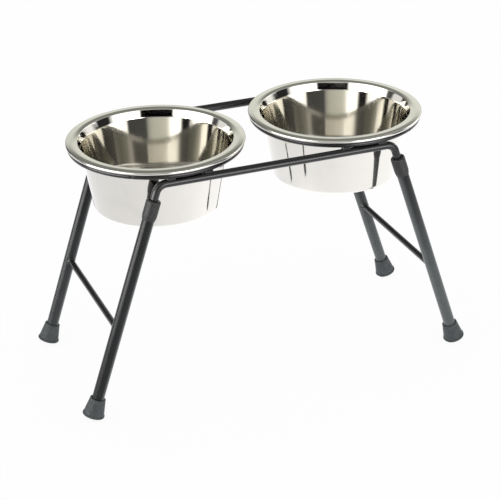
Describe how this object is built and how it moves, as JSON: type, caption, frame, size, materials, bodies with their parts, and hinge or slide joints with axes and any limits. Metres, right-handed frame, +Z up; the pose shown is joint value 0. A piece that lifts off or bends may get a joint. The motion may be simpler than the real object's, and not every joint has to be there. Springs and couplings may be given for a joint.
{
  "type": "elevated pet bowl stand",
  "caption": "Raised feeding stand: black bent-rod frame on splayed push-on leg frames with rubber feet, carrying lift-out polished stainless bowls in rings.",
  "frame": {"origin": "centre of the stand on the floor, under the middle of the four feet", "axes": "+X along the rails from the left bowl to the right bowl, +Y from front to back, +Z up"},
  "size_m": [0.4984, 0.2226, 0.2959],
  "materials": {
    "black_paint": "satin",
    "black_moulding": "satin",
    "foot_rubber": "matte",
    "polished_stainless": "polished"
  },
  "bodies": {
    "rail_frame": {"front_rail": "black_paint", "back_rail": "black_paint", "left_ring": "black_paint", "left_ring_welds": "black_paint", "right_ring": "black_paint", "right_ring_welds": "black_paint"},
    "left_leg_frame": {"left_stretcher": "black_paint", "left_stretcher_welds": "black_paint", "left_front_leg_tube": "black_paint", "left_front_sleeve": "black_moulding", "left_front_foot": "foot_rubber", "left_back_leg_tube": "black_paint", "left_back_sleeve": "black_moulding", "left_back_foot": "foot_rubber"},
    "right_leg_frame": {"right_stretcher": "black_paint", "right_stretcher_welds": "black_paint", "right_front_leg_tube": "black_paint", "right_front_sleeve": "black_moulding", "right_front_foot": "foot_rubber", "right_back_leg_tube": "black_paint", "right_back_sleeve": "black_moulding", "right_back_foot": "foot_rubber"},
    "left_bowl": {"left_bowl": "polished_stainless"},
    "right_bowl": {"right_bowl": "polished_stainless"}
  },
  "joints": [
    {"name": "left_leg_frame_pull", "type": "slide", "parent": "rail_frame", "child": "left_leg_frame", "axis": [-0.3145, 0, -0.9493], "range_m": [0, 0.05]},
    {"name": "right_leg_frame_pull", "type": "slide", "parent": "rail_frame", "child": "right_leg_frame", "axis": [0.3145, 0, -0.9493], "range_m": [0, 0.05]},
    {"name": "left_bowl_lift", "type": "slide", "parent": "rail_frame", "child": "left_bowl", "axis": [0, 0, 1], "range_m": [0, 0.1]},
    {"name": "right_bowl_lift", "type": "slide", "parent": "rail_frame", "child": "right_bowl", "axis": [0, 0, 1], "range_m": [0, 0.1]}
  ]
}
